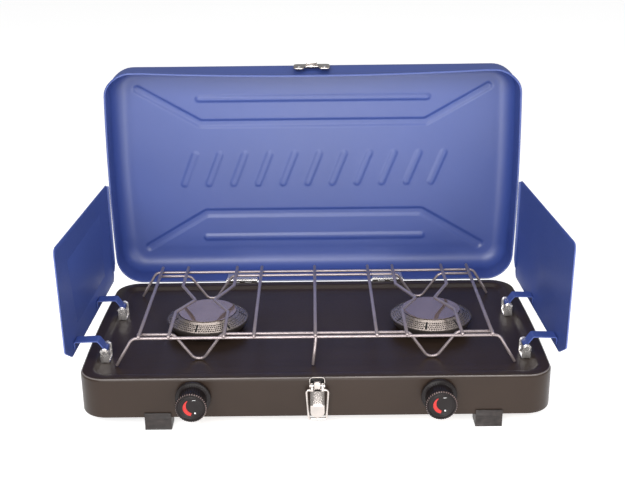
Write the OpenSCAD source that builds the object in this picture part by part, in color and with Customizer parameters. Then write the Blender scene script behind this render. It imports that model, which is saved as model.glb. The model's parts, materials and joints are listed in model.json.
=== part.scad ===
// Two-burner folding camp stove: tray base, hinged lid, side wind screens, lift-out grate,
// two burners fed by a gas rail, and a draw latch at the front.
// Millimetres. X to the user's right, Y to the back, Z up. The origin is on the ground at the
// centre of the base. The lid is open at 90 degrees and both wind screens stand up.

/* [Case] */
// Width of the base and the lid
case_w = 520; // [516:1:524]
// Depth of the base and the lid, front to back
case_d = 282; // [280:1:284]
// How far each side bulges outward at its middle
side_bow = 3.5; // [0:0.5:4]
// Plan corner radius of the base
base_corner_r = 29; // [26:1:32]
// Plan corner radius of the lid
lid_corner_r = 32; // [30:1:34]
// Height of the base's bottom edge
base_bottom_z = 14; // [13:0.5:15]
// Height of the base's shoulder
shoulder_z = 61; // [60.5:0.5:61.5]
// Width of the shoulder round the basin
shoulder_w = 14; // [12:1:15]
// Depth of the basin below the shoulder
basin_drop = 5; // [4:0.5:6]
// Sheet thickness of the base and the lid
sheet_t = 1; // [0.8:0.1:1.2]
// Depth of the lid
lid_depth = 50; // [48:1:52]

/* [Hinges] */
// Distance of each lid hinge from the middle
hinge_x = 97; // [90:1:110]
// Width of a hinge leaf
leaf_w = 40; // [36:1:42]
// Height of the hinge pin
hinge_z = 62.8; // [62.6:0.1:63]
// Outer radius of a knuckle
knuckle_r = 2.5; // [2.3:0.1:2.6]

/* [Wind screens] */
// Distance of a screen's pivot pin from the middle
pivot_x = 238.5; // [237:0.5:239]
// Height of a screen's pivot pin
pivot_z = 69; // [68.5:0.5:69.5]
// Distance from the pivot to the standing panel's inner face
screen_reach = 32.2; // [31:0.1:33]
// Lean of the standing panel, outward at the top
screen_lean = 2; // [1:0.5:3]
// Turn of the standing panel in plan, outward at its front edge
screen_yaw = 2.3; // [0:0.1:3]
// Height of the panel's top edge
screen_top_z = 200; // [190:1:202]
// Width of a strap
strap_w = 16; // [14:1:17]

/* [Grate] */
// Wire diameter of the grate
wire_d = 4; // [3.8:0.1:4]
// Middle of the grate, front to back
grate_y = 5; // [4:1:6]
// Height of the cross wires' axes
cross_wire_z = 93; // [93:0.5:94]

/* [Burners] */
// Distance of each burner from the point midway between them
burner_half_gap = 135; // [133:1:137]
// Point midway between the burners
burner_mid_x = 5; // [4:1:6]
// Middle of a burner, front to back
burner_y = 4; // [2:1:6]
// Radius of a burner's flat cap
cap_r = 34.4; // [33:0.1:35]
// Radius of a burner's rim
rim_r = 48.8; // [47:0.1:50]

/* [Controls] */
// Distance of each knob from the middle
knob_x = 134; // [132:1:136]
// Height of the knobs
knob_z = 40; // [39.5:0.5:40.5]
// Knob skirt diameter
knob_skirt_d = 39; // [37:0.1:42]
// Knob grip diameter
knob_grip_d = 34.6; // [32:0.1:36]
// Middle of the latch
latch_x = 1.5; // [0:0.5:3]

/* [Hidden] */

$fn = 48;
eps = 0.1;          // overrun of a cutting solid
running_gap = 0.05; // radial clearance of a pin or a shaft

front_y = -case_d / 2;
back_y = case_d / 2;
deck_z = shoulder_z - basin_drop;
mouth_z = shoulder_z + 0.3;
hinge_y = back_y;
hinge_pin_r = 1.2;
notch_w = leaf_w + 5;
notch_r = knuckle_r + 0.7;

wire_r = wire_d / 2;
rail_z = cross_wire_z - wire_d;
rail_front_y = grate_y - 92;
rail_back_y = grate_y + 86;
leg_front_y = grate_y - 102;
leg_back_y = grate_y + 99;
loop_x = 132.5;
loop_top = 54;
loop_flat = 11;
wire_foot_z = deck_z + wire_r + 0.15;
bend_swell = 0.1;     // how far the ball at a bend stands out
bend_step = 0.02;     // how much thinner every second length of a wire is

strap_ys = [-79.5, 38.5];
bracket_ear_gap = 19;
bracket_ear_t = 1;
bracket_w = 10;
bracket_top_z = 74;
pivot_pin_r = 1.25;

knob_back_y = front_y - 3;
knob_face_y = front_y - 28;
stem_r = 3;
valve_r = 8;
valve_back_y = front_y + 29;
nose_r = 6;
gas_rail_y = front_y + 16;
gas_rail_z = 27;
gas_rail_r = 5;
gas_riser_x = 225;
inlet_y = 60;
inlet_r = 8.5;
inlet_thread_r = 7.1;
inlet_thread_len = 14;
inlet_end_x = case_w / 2 + 5;

mixer_r = 9;
riser_r = 11.8;
neck_r = 14;

foot_xs = [-174, 190];
foot_w = 29.5;
foot_h = 20;
foot_depth = 22;
foot_lap = 2.5;

latch_pin_y = front_y - 5;
latch_pin_z = 54;
bail_pivot_y = front_y - 6;
bail_pivot_z = 49;
bail_r = 1;
bail_len = 35;
lever_w = 15.3;
strike_x = -1;

// ---- shared shapes ----

// Points of an arc round c, from angle a0 to a1, in n steps
function arc(c, r, a0, a1, n) =
    [for (i = [0:n]) let (a = a0 + (a1 - a0) * i / n) [c[0] + r * cos(a), c[1] + r * sin(a)]];

// A plan point with the outward bulge of the case's sides added
function bowed(p, hx, hy) = [p[0] * (1 + side_bow / hx * (1 - pow(p[1] / hy, 2))), p[1]];

// Plan outline of the case, moved inward by inset
function case_outline(corner_r, inset) =
    let (hx = case_w / 2 - inset, hy = case_d / 2 - inset, r = corner_r - inset,
         cx = hx - r, cy = hy - r, steps = [1:5],
         points = concat(
             arc([cx, -cy], r, -90, 0, 6),
             [for (i = steps) [hx, -cy + 2 * cy * i / 6]],
             arc([cx, cy], r, 0, 90, 6),
             arc([-cx, cy], r, 90, 180, 6),
             [for (i = steps) [-hx, cy - 2 * cy * i / 6]],
             arc([-cx, -cy], r, 180, 270, 6)))
    [for (p = points) bowed(p, hx, hy)];

module case_prism(corner_r, inset, z0, z1)
    translate([0, 0, z0]) linear_extrude(z1 - z0) polygon(case_outline(corner_r, inset));

// A box from its lowest corner to its highest
module box(lo, hi) translate(lo) cube(hi - lo);

// A cylinder along X, Y or Z from one point, by its length
module rod_x(p, len, r) translate(p) rotate([0, 90, 0]) cylinder(h = len, r = r);
module rod_y(p, len, r) translate(p) rotate([-90, 0, 0]) cylinder(h = len, r = r);
module rod_z(p, len, r) translate(p) cylinder(h = len, r = r);

// A straight round bar between two points
module bar(a, b, r) {
    d = b - a;
    len = norm(d);
    translate(a) rotate([0, acos(d[2] / len), atan2(d[1], d[0])]) cylinder(h = len, r = r, $fn = 24);
}

// A bent wire through a list of points, with a ball at each bend. Every second length is a
// hair thinner, so that lengths of one radius don't cross.
module wire(points, r) {
    for (i = [0:len(points) - 2])
        bar(points[i], points[i + 1], i % 2 == 0 ? r : r - bend_step);
    for (i = [1:len(points) - 2]) translate(points[i]) sphere(r + bend_swell, $fn = 24);
}

// Puts a shape drawn for the closed lid where the open lid is
module open_lid()
    translate([0, hinge_y, hinge_z]) rotate([-90, 0, 0]) translate([0, -hinge_y, -hinge_z]) children();

// A shape drawn on the right, or its mirror image on the left
module on_side(side) if (side > 0) children(); else mirror([1, 0, 0]) children();

// ---- case ----

module base_tray() color("#3a322f") difference() {
    union() {
        difference() {
            case_prism(base_corner_r, 0, base_bottom_z, shoulder_z);
            case_prism(base_corner_r, sheet_t, base_bottom_z - eps, shoulder_z - sheet_t);
            case_prism(base_corner_r, shoulder_w, shoulder_z - 2 * sheet_t, shoulder_z + eps);
        }
        difference() {
            case_prism(base_corner_r, shoulder_w - sheet_t, deck_z - sheet_t, shoulder_z - sheet_t / 2);
            case_prism(base_corner_r, shoulder_w, deck_z, shoulder_z + eps);
        }
        difference() {
            case_prism(base_corner_r, 0, base_bottom_z, base_bottom_z + sheet_t);
            case_prism(base_corner_r, 7, base_bottom_z - eps, base_bottom_z + 2 * sheet_t);
        }
    }
    for (side = [-1, 1]) {
        rod_z([burner_mid_x + side * burner_half_gap, burner_y, deck_z - 2], 4, neck_r + 0.3);
        rod_y([side * knob_x, front_y - 1, knob_z], 3, nose_r + 0.3);
        box([side * hinge_x - notch_w / 2, back_y - notch_r, hinge_z - notch_r],
            [side * hinge_x + notch_w / 2, back_y + 1, shoulder_z + 1]);
    }
    rod_x([case_w / 2 - 5, inlet_y, gas_rail_z], 12, inlet_r + 0.3);
}

// A clip-on foot at the middle of its width, at the front (end = -1) or the back (end = 1)
module foot(x, end) color("#161616") translate([x, 0, 0]) mirror([0, end > 0 ? 1 : 0, 0]) {
    difference() {
        union() {
            box([-foot_w / 2, front_y - foot_lap, 0],
                [foot_w / 2, front_y - foot_lap + foot_depth, base_bottom_z]);
            box([-foot_w / 2, front_y - foot_lap, base_bottom_z - eps],
                [foot_w / 2, front_y - running_gap, foot_h]);
        }
        for (z = [4, 8, 12])
            box([-foot_w / 2 - 1, front_y - foot_lap - 1, z], [foot_w / 2 + 1, front_y - foot_lap + 0.8, z + 1.2]);
    }
}

module lid_shell() color("#44549c") open_lid() difference() {
    case_prism(lid_corner_r, 0, mouth_z, mouth_z + lid_depth);
    case_prism(lid_corner_r, sheet_t, mouth_z - eps, mouth_z + lid_depth - sheet_t);
    for (side = [-1, 1])
        box([side * hinge_x - notch_w / 2, back_y - notch_r, mouth_z - 1],
            [side * hinge_x + notch_w / 2, back_y + 1, hinge_z + notch_r]);
}

// The riveted plate on the lid's front wall that the latch bail hooks over
module lid_strike() color("#a9a7ab") open_lid() translate([strike_x, 0, 0]) {
    plate_y = front_y - 1.2;
    for (side = [-1, 1])
        box([side * 16 - 6.7, plate_y, 65], [side * 16 + 6.7, front_y, 94]);
    box([-10, plate_y, 78], [10, front_y, 94]);
    box([-7, front_y - 5.5, 80.5], [7, plate_y + eps, 82.5]);
}

module strike_rivets() color("silver") open_lid()
    for (side = [-1, 1]) rod_y([strike_x + side * 16, front_y - 2.6, 72], 1.4, 2.5);

// ---- lid hinges ----

// Knuckles of one leaf along the hinge pin, from a list of [start, end] offsets
module knuckles(x, spans) for (s = spans) difference() {
    rod_x([x + s[0], hinge_y, hinge_z], s[1] - s[0], knuckle_r);
    rod_x([x + s[0] - 1, hinge_y, hinge_z], s[1] - s[0] + 2, hinge_pin_r + running_gap);
}

module hinge_base_leaf(side) color("#8a8d92") {
    x = side * hinge_x;
    spans = [[-20, -12.2], [-3.9, 3.9], [12.2, 20]];
    box([x - leaf_w / 2, back_y, 42], [x + leaf_w / 2, back_y + 1, hinge_z - notch_r - 0.3]);
    for (s = spans)
        box([x + s[0], back_y, hinge_z - notch_r - 0.4], [x + s[1], back_y + 1, hinge_z - 1.7]);
    knuckles(x, spans);
}

module hinge_lid_leaf(side) color("#9a9da6") open_lid() {
    x = side * hinge_x;
    spans = [[-12, -4.1], [4.1, 12]];
    plate_y = back_y - sheet_t;
    box([x - leaf_w / 2, plate_y - 1, hinge_z + notch_r + 0.3], [x + leaf_w / 2, plate_y, 85]);
    for (s = spans)
        box([x + s[0], plate_y - 1, hinge_z + 1.3], [x + s[1], plate_y, hinge_z + notch_r + 0.4]);
    knuckles(x, spans);
}

module hinge_pin(side) color("silver")
    rod_x([side * hinge_x - leaf_w / 2 - 1, hinge_y, hinge_z], leaf_w + 2, hinge_pin_r);

module base_leaf_rivets() color("silver")
    for (side = [-1, 1], dx = [-12, 12])
        rod_y([side * hinge_x + dx, back_y + 1, 50], 1.2, 2.2);

module lid_leaf_rivets() color("silver") open_lid()
    for (side = [-1, 1], dx = [-12, 12])
        rod_y([side * hinge_x + dx, back_y - sheet_t - 2, 75], 1, 2.2);

// ---- wind screens ----

// Outline of a panel, as [y, z]
function screen_outline() = concat(
    [[-96, 68], [131, 68], [136.5, 75], [136.5, screen_top_z]],
    arc([-95, screen_top_z - 8], 8, 90, 170, 4),
    [[-121, 84]]);

// Turns a shape drawn for an upright panel to the panel's lean, about the pivot pin
module leaned() translate([pivot_x, 0, pivot_z]) rotate([0, screen_lean, 0])
    translate([-pivot_x, 0, -pivot_z]) children();

module windscreen(side) color("#36428c") on_side(side) leaned()
    translate([pivot_x + screen_reach, 0, 0]) rotate([0, 0, screen_yaw]) {
        rotate([90, 0, 90]) linear_extrude(sheet_t) polygon(screen_outline());
        box([-4, 135.5, 84], [eps, 136.5, screen_top_z - 2]);
    }

// Two bent straps from a panel to its pivot pins
module screen_straps(side) color("#36428c") on_side(side) leaned() for (y = strap_ys) {
    t = 1.4;
    face_x = pivot_x + screen_reach - (y + strap_w / 2) * tan(screen_yaw) - running_gap;
    elbow = [pivot_x + 7, pivot_z + 12];
    difference() {
        union() {
            translate([0, y + strap_w / 2, 0]) rotate([90, 0, 0]) linear_extrude(strap_w) polygon([
                [face_x, elbow[1] + t], [elbow[0], elbow[1] + t], [pivot_x - 0.6, pivot_z + 2],
                [pivot_x + 1, pivot_z + 0.8], [elbow[0] + 0.8, elbow[1]], [face_x - t, elbow[1]],
                [face_x - t, elbow[1] - 8], [face_x, elbow[1] - 8]]);
            rod_y([pivot_x, y - strap_w / 2, pivot_z], strap_w, 2.8);
        }
        rod_y([pivot_x, y - strap_w / 2 - 1, pivot_z], strap_w + 2, pivot_pin_r + running_gap);
    }
}

// A U bracket on the deck that holds one end of a screen
module bracket(side, y) color("#c9ccd2") on_side(side) difference() {
    outer = bracket_ear_gap / 2 + bracket_ear_t;
    union() {
        box([pivot_x - bracket_w / 2, y - outer, deck_z], [pivot_x + bracket_w / 2, y + outer, deck_z + 1]);
        for (end = [-1, 1])
            box([pivot_x - bracket_w / 2, y + end * (outer - 0.5) - 0.5, deck_z],
                [pivot_x + bracket_w / 2, y + end * (outer - 0.5) + 0.5, bracket_top_z]);
    }
    rod_y([pivot_x, y - outer - 1, pivot_z], 2 * outer + 2, pivot_pin_r + running_gap);
}

module bracket_pins(side) color("#c9ccd2") on_side(side) for (y = strap_ys) {
    outer = bracket_ear_gap / 2 + bracket_ear_t;
    rod_y([pivot_x, y - outer - 0.4, pivot_z], 2 * outer + 0.8, pivot_pin_r);
    rod_y([pivot_x, y - outer - 1.6, pivot_z], 1.5, 2.6);
}

module bracket_rivets() color("silver")
    for (side = [-1, 1], y = strap_ys) rod_z([side * pivot_x, y, deck_z + 1], 1.2, 2.2);

// ---- grate ----

// A cross wire that swerves round a burner, from its x over the deck to its x over the burner
module swerved_wire(side, x_back, x_mid, x_front) on_side(side) wire([
    [x_back, grate_y + 108, cross_wire_z], [x_back, 48, cross_wire_z], [x_mid, 3, cross_wire_z],
    [x_front, -33, cross_wire_z], [x_front, grate_y - 108, cross_wire_z]], wire_r);

module grate_cross_wires() color("#b9bccb") {
    for (x = [-197, -68.5, 0, 68.5, 197])
        rod_y([x, grate_y - 108, cross_wire_z], 216, wire_r);
    for (side = [-1, 1]) {
        swerved_wire(side, 164, 144, 163.5);
        swerved_wire(side, 100.5, 121, 102);
    }
}

// A rail under the cross wires, with a V-shaped loop down to the deck on each side
module rail(y, low_y) color("#b9bccb") {
    half = [[loop_x - loop_top / 2, y, rail_z], [loop_x - loop_flat / 2, low_y, wire_foot_z],
        [loop_x + loop_flat / 2, low_y, wire_foot_z], [loop_x + loop_top / 2, y, rail_z], [200, y, rail_z]];
    wire(concat([for (i = [4:-1:0]) [-half[i][0], half[i][1], half[i][2]]], half), wire_r);
}

// An outer rail whose ends are bent down to the deck as legs
module leg_wire(y, foot_y) color("#b9bccb")
    wire([[-223.5, foot_y, wire_foot_z], [-205, y, rail_z], [205, y, rail_z],
        [223.5, foot_y, wire_foot_z]], wire_r);

module grate_front_leg_wire() color("#b9bccb") {
    leg_wire(leg_front_y, leg_front_y - 2);
    bar([0.7, leg_front_y, rail_z], [-3, leg_front_y - 5, wire_foot_z], wire_r - 0.1);
}

// ---- burners and gas parts ----

function burner_x(side) = burner_mid_x + side * burner_half_gap;

module burner_bowl(side) color("#8f8f93") translate([burner_x(side), burner_y, 0])
    rotate_extrude($fn = 72) polygon([[12, 49.6], [neck_r, 49.6], [neck_r, deck_z], [38, deck_z],
        [rim_r, 68], [rim_r, 70.3], [rim_r - 1.2, 70.3], [rim_r - 1.2, 68.5], [37.5, deck_z + 1.2],
        [12, deck_z + 1.2]]);

module burner_ring(side) color("#77757a") translate([burner_x(side), burner_y, 0])
    rotate_extrude($fn = 72) polygon([[rim_r - 1.4, 70.4], [rim_r, 70.4], [rim_r, 71],
        [cap_r + 0.8, 78.2], [cap_r - 0.4, 78.2]]);

module burner_cap(side) color("#b4b2bd") translate([burner_x(side), burner_y, 0]) {
    rod_z([0, 0, 78.3], 0.9, cap_r, $fn = 72);
    rod_z([0, 0, 74], 4.4, cap_r - 4);
}

module mixer_tube(side) color("#9b9ca0") {
    x = burner_x(side);
    tube_y = front_y + 35;
    tube_len = burner_y + 6 - tube_y;
    difference() {
        union() {
            rod_y([side * knob_x, tube_y, knob_z], tube_len, mixer_r);
            rod_z([x, burner_y, knob_z - 8], deck_z - knob_z + 8, riser_r);
        }
        rod_y([side * knob_x, tube_y - 1, knob_z], tube_len - 1, mixer_r - 1);
        rod_z([x, burner_y, knob_z - 6], deck_z - knob_z + 7, riser_r - 1.5);
    }
}

module valve_body(side) color("#b5975a") difference() {
    union() {
        rod_y([side * knob_x, front_y + 1.1, knob_z], valve_back_y - front_y - 1.1, valve_r);
        rod_y([side * knob_x, front_y - 2.6, knob_z], 5, nose_r);
        rod_z([side * knob_x, gas_rail_y, gas_rail_z + gas_rail_r + 0.1], 6, 4);
    }
    rod_y([side * knob_x, front_y - 3, knob_z], 27, stem_r + running_gap);
}

module valve_stem(side) color("#c9b37c") {
    rod_y([side * knob_x, front_y - 19, knob_z], 42, stem_r);
}

module gas_jet(side) color("#c2a45c") difference() {
    rod_y([side * knob_x, valve_back_y, knob_z], 8, 2.8);
    rod_y([side * knob_x, valve_back_y - 1, knob_z], 10, 0.4);
}

module valve_panel_nuts() color("silver") for (side = [-1, 1]) difference() {
    translate([side * knob_x, front_y, knob_z]) rotate([90, 0, 0]) cylinder(h = 2, r = 9.5, $fn = 6);
    rod_y([side * knob_x, front_y - 4, knob_z], 6, nose_r + running_gap);
}

// The pipe from the inlet to both valves, drawn solid
module gas_rail() color("#a9834c") wire([
    [-knob_x - 8, gas_rail_y, gas_rail_z], [gas_riser_x, gas_rail_y, gas_rail_z],
    [gas_riser_x, inlet_y, gas_rail_z], [inlet_end_x - 34, inlet_y, gas_rail_z]], gas_rail_r);

module gas_inlet() color("#c2a45c") difference() {
    rod_x([inlet_end_x - 33.9, inlet_y, gas_rail_z], 33.9, inlet_r);
    rod_x([inlet_end_x - inlet_thread_len, inlet_y, gas_rail_z], inlet_thread_len + 1, inlet_thread_r);
    rod_x([inlet_end_x - 35, inlet_y, gas_rail_z], 30, 2);
}

module inlet_lock_nut() color("silver") difference() {
    translate([case_w / 2 - 4, inlet_y, gas_rail_z]) rotate([0, 90, 0]) cylinder(h = 4, r = 11.5, $fn = 6);
    rod_x([case_w / 2 - 6, inlet_y, gas_rail_z], 8, inlet_r + running_gap);
}

// ---- knobs ----

module knob(side) color("#141316") difference() {
    union() {
        rod_y([side * knob_x, knob_back_y - 3, knob_z], 3, knob_skirt_d / 2);
        rod_y([side * knob_x, knob_face_y, knob_z], 24, knob_grip_d / 2);
    }
    rod_y([side * knob_x, front_y - 19.2, knob_z], 30, stem_r + running_gap);
}

module knob_marker(side) color("#c0241c")
    translate([side * knob_x, knob_face_y, knob_z]) rotate([90, 0, 0]) linear_extrude(0.4)
        difference() {
            translate([0.5, -0.5]) circle(r = 9.5);
            translate([4, 2]) circle(r = 9.2);
        }

// ---- latch ----

module latch_base() color("#e8e8ea") translate([latch_x, 0, 0]) difference() {
    union() {
        box([-7.5, front_y - 1.2, 43], [7.5, front_y, 61]);
        box([-4, latch_pin_y - 2, 50], [4, front_y, 58]);
    }
    rod_x([-9, latch_pin_y, latch_pin_z], 18, hinge_pin_r + running_gap);
}

module latch_pin() color("silver") rod_x([latch_x - 8, latch_pin_y, latch_pin_z], 16, hinge_pin_r);

module latch_lever() color("#d9d9dc") translate([latch_x, 0, 0]) difference() {
    plate_y = front_y - 8.4;
    union() {
        for (side = [-1, 1]) {
            box([side * 5.7 - 1.3, plate_y, 46], [side * 5.7 + 1.3, front_y - 3.5, latch_pin_z]);
            rod_x([side * 5.7 - 1.3, latch_pin_y, latch_pin_z], 2.6, 3.2);
        }
        box([-lever_w / 2, plate_y, 27], [lever_w / 2, plate_y + 1.2, 48.5]);
        translate([0, plate_y + 1.2, 0]) rotate([90, 0, 0]) linear_extrude(1.2)
            polygon(concat([[lever_w / 2, 27.1], [-lever_w / 2, 27.1]],
                [for (a = [180:15:360]) [lever_w / 2 * cos(a), 23 + 6.5 * sin(a)]]));
    }
    rod_x([-9, latch_pin_y, latch_pin_z], 18, hinge_pin_r + running_gap);
    rod_x([-9, bail_pivot_y, bail_pivot_z], 18, bail_r + running_gap);
}

module latch_bail() color("#e0e1e6") {
    half = [[4.8, bail_pivot_z], [12, bail_pivot_z], [9.6, bail_pivot_z - bail_len]];
    wire(concat(
        [for (p = half) [latch_x - p[0], bail_pivot_y, p[1]]],
        [for (i = [2:-1:0]) [latch_x + half[i][0], bail_pivot_y, half[i][1]]]), bail_r);
}

module latch_rivets() color("silver")
    for (side = [-1, 1]) rod_y([latch_x + side * 4.5, front_y - 2.2, 46], 1, 1.6);

base_tray();
foot(foot_xs[0], -1);  // front_left_foot
foot(foot_xs[1], -1);  // front_right_foot
foot(foot_xs[0], 1);  // rear_left_foot
foot(foot_xs[1], 1);  // rear_right_foot
lid_shell();
lid_strike();
strike_rivets();
hinge_base_leaf(-1);  // left_hinge_base_leaf
hinge_base_leaf(1);  // right_hinge_base_leaf
hinge_lid_leaf(-1);  // left_hinge_lid_leaf
hinge_lid_leaf(1);  // right_hinge_lid_leaf
hinge_pin(-1);  // left_hinge_pin
hinge_pin(1);  // right_hinge_pin
base_leaf_rivets();
lid_leaf_rivets();
windscreen(-1);  // left_windscreen
windscreen(1);  // right_windscreen
screen_straps(-1);  // left_screen_straps
screen_straps(1);  // right_screen_straps
bracket(-1, strap_ys[0]);  // left_front_bracket
bracket(-1, strap_ys[1]);  // left_rear_bracket
bracket(1, strap_ys[0]);  // right_front_bracket
bracket(1, strap_ys[1]);  // right_rear_bracket
bracket_pins(-1);  // left_bracket_pins
bracket_pins(1);  // right_bracket_pins
bracket_rivets();
grate_cross_wires();
rail(rail_front_y, rail_front_y + 3.5);  // grate_front_rail
rail(rail_back_y, rail_back_y + 2.5);  // grate_rear_rail
grate_front_leg_wire();
leg_wire(leg_back_y, leg_back_y - 2);  // grate_rear_leg_wire
burner_bowl(-1);  // left_burner_bowl
burner_bowl(1);  // right_burner_bowl
burner_ring(-1);  // left_burner_ring
burner_ring(1);  // right_burner_ring
burner_cap(-1);  // left_burner_cap
burner_cap(1);  // right_burner_cap
mixer_tube(-1);  // left_mixer_tube
mixer_tube(1);  // right_mixer_tube
valve_body(-1);  // left_valve_body
valve_body(1);  // right_valve_body
valve_stem(-1);  // left_valve_stem
valve_stem(1);  // right_valve_stem
gas_jet(-1);  // left_gas_jet
gas_jet(1);  // right_gas_jet
valve_panel_nuts();
gas_rail();
gas_inlet();
inlet_lock_nut();
knob(-1);  // left_knob
knob(1);  // right_knob
knob_marker(-1);  // left_knob_marker
knob_marker(1);  // right_knob_marker
latch_base();
latch_pin();
latch_lever();
latch_bail();
latch_rivets();
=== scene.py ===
"""Looks of the two-burner camp stove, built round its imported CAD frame.

Lengths in this script are millimetres and are turned into metres when a mesh is made.
X is to the user's right, Y to the back and Z up. The lid is drawn closed and turned open.
"""
import json
from math import atan2, cos, hypot, pi, radians, sin, sqrt, tan

import bpy
from mathutils import Matrix, Vector


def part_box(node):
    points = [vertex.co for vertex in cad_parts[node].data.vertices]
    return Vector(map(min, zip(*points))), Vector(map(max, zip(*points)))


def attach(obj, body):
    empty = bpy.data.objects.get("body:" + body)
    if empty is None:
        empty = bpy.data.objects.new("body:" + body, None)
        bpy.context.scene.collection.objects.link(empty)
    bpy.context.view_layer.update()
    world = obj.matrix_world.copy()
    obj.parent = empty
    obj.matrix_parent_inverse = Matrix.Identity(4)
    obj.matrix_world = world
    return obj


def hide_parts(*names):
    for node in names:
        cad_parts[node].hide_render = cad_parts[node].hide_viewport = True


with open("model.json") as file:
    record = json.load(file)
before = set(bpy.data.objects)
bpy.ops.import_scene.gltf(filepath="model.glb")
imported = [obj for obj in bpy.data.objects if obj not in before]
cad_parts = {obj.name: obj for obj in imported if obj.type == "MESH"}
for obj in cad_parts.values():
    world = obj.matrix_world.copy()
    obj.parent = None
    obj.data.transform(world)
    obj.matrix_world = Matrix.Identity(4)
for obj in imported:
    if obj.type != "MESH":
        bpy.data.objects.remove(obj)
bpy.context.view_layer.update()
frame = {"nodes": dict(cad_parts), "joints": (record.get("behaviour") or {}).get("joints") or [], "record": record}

MM = 0.001


def box_mm(node):
    """Lowest and highest corner of a CAD node, in millimetres."""
    low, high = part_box(node)
    return Vector(low) / MM, Vector(high) / MM


# ---------------------------------------------------------------- driving sizes

BASE_LOW, BASE_HIGH = box_mm("base_tray")
LID_LOW, LID_HIGH = box_mm("lid_shell")
SIDE_BOW = 3.5
HALF_W = BASE_HIGH.x - SIDE_BOW
HALF_D = BASE_HIGH.y
BASE_CORNER_R = 29.0
LID_CORNER_R = 32.0
SHEET = 1.0
SHOULDER_Z = BASE_HIGH.z
DECK_Z = SHOULDER_Z - 5.0
FRONT_Y = BASE_LOW.y
HINGE = [j for j in frame["joints"] if j["name"] == "lid_fold"][0]["pos_m"]
HINGE_Y, HINGE_Z = HINGE[1] / MM, HINGE[2] / MM
MOUTH_Z = SHOULDER_Z + 0.3
LID_TOP_Z = MOUTH_Z + (LID_HIGH.y - LID_LOW.y)
HINGE_X = 97.0
NOTCH_HALF_W = 22.5
NOTCH_TOP_Z = HINGE_Z + 3.2
PIVOT_X, PIVOT_Z = 238.5, 69.0
STRAP_YS = (-79.5, 38.5)
LATCH_X = 1.5


# ---------------------------------------------------------------- camera and light

def aim_camera():
    """Camera at the picture's viewing angle, slightly above the stove and square to its front."""
    aim = Vector((-0.0022, 0.0, 0.1631))
    distance, rise, swing, roll = 1.2392, radians(19.93), radians(0.11), radians(-0.66)
    away = Vector((sin(swing) * cos(rise), -cos(swing) * cos(rise), sin(rise)))
    right = (-away).cross(Vector((0, 0, 1))).normalized()
    up = right.cross(-away)
    right, up = right * cos(roll) + up * sin(roll), up * cos(roll) - right * sin(roll)
    data = bpy.data.cameras.new("camera")
    data.sensor_width = 36.0
    data.sensor_fit = "HORIZONTAL"
    data.lens = 60.55
    data.clip_end = 50.0
    camera = bpy.data.objects.new("camera", data)
    place = Matrix((right, up, away)).transposed().to_4x4()
    place.translation = aim + away * distance
    camera.matrix_world = place
    bpy.context.collection.objects.link(camera)
    bpy.context.scene.camera = camera


def area_light(name, place, target, size, power, colour=(1, 1, 1)):
    data = bpy.data.lights.new(name, "AREA")
    data.shape = "RECTANGLE"
    data.size, data.size_y = size
    data.energy = power
    data.color = colour
    light = bpy.data.objects.new(name, data)
    light.location = place
    light.rotation_euler = (Vector(target) - Vector(place)).to_track_quat("-Z", "Y").to_euler()
    bpy.context.collection.objects.link(light)


def set_light():
    """A plain studio: dim surroundings, three soft boxes in front, one of them low,
    and a strip light overhead."""
    world = bpy.data.worlds.new("studio")
    world.use_nodes = True
    back = world.node_tree.nodes["Background"]
    back.inputs["Color"].default_value = (1.0, 1.0, 1.0, 1.0)
    back.inputs["Strength"].default_value = 0.28
    bpy.context.scene.world = world
    area_light("key", (-0.5, -2.1, 1.35), (0, 0.1, 0.15), (1.8, 1.2), 42)
    area_light("fill", (1.5, -1.3, 1.0), (0, 0, 0.15), (1.0, 1.0), 9)
    area_light("strip", (0, 0.1, 1.9), (0, 0, 0), (2.4, 0.25), 8)
    area_light("low", (0.02, -0.95, 0.07), (0.02, 0.15, 0.30), (0.35, 0.1), 1.6)
    bpy.context.scene.view_settings.view_transform = "Standard"


def lay_floor():
    half = 6.0
    mesh = bpy.data.meshes.new("floor")
    corners = [(-half, -half, 0), (half, -half, 0), (half, half, 0), (-half, half, 0)]
    mesh.from_pydata(corners, [], [(0, 1, 2, 3)])
    floor = bpy.data.objects.new("floor", mesh)
    bpy.context.collection.objects.link(floor)
    white = material("floor_white", (0.95, 0.95, 0.95), 0.0, 0.9, 0.01, 2, (30, 0.0))
    shader = white.node_tree.nodes["Principled BSDF"]
    shader.inputs["Emission Color"].default_value = (1.0, 1.0, 1.0, 1.0)
    shader.inputs["Emission Strength"].default_value = 0.68
    mesh.materials.append(white)


# ---------------------------------------------------------------- materials

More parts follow.
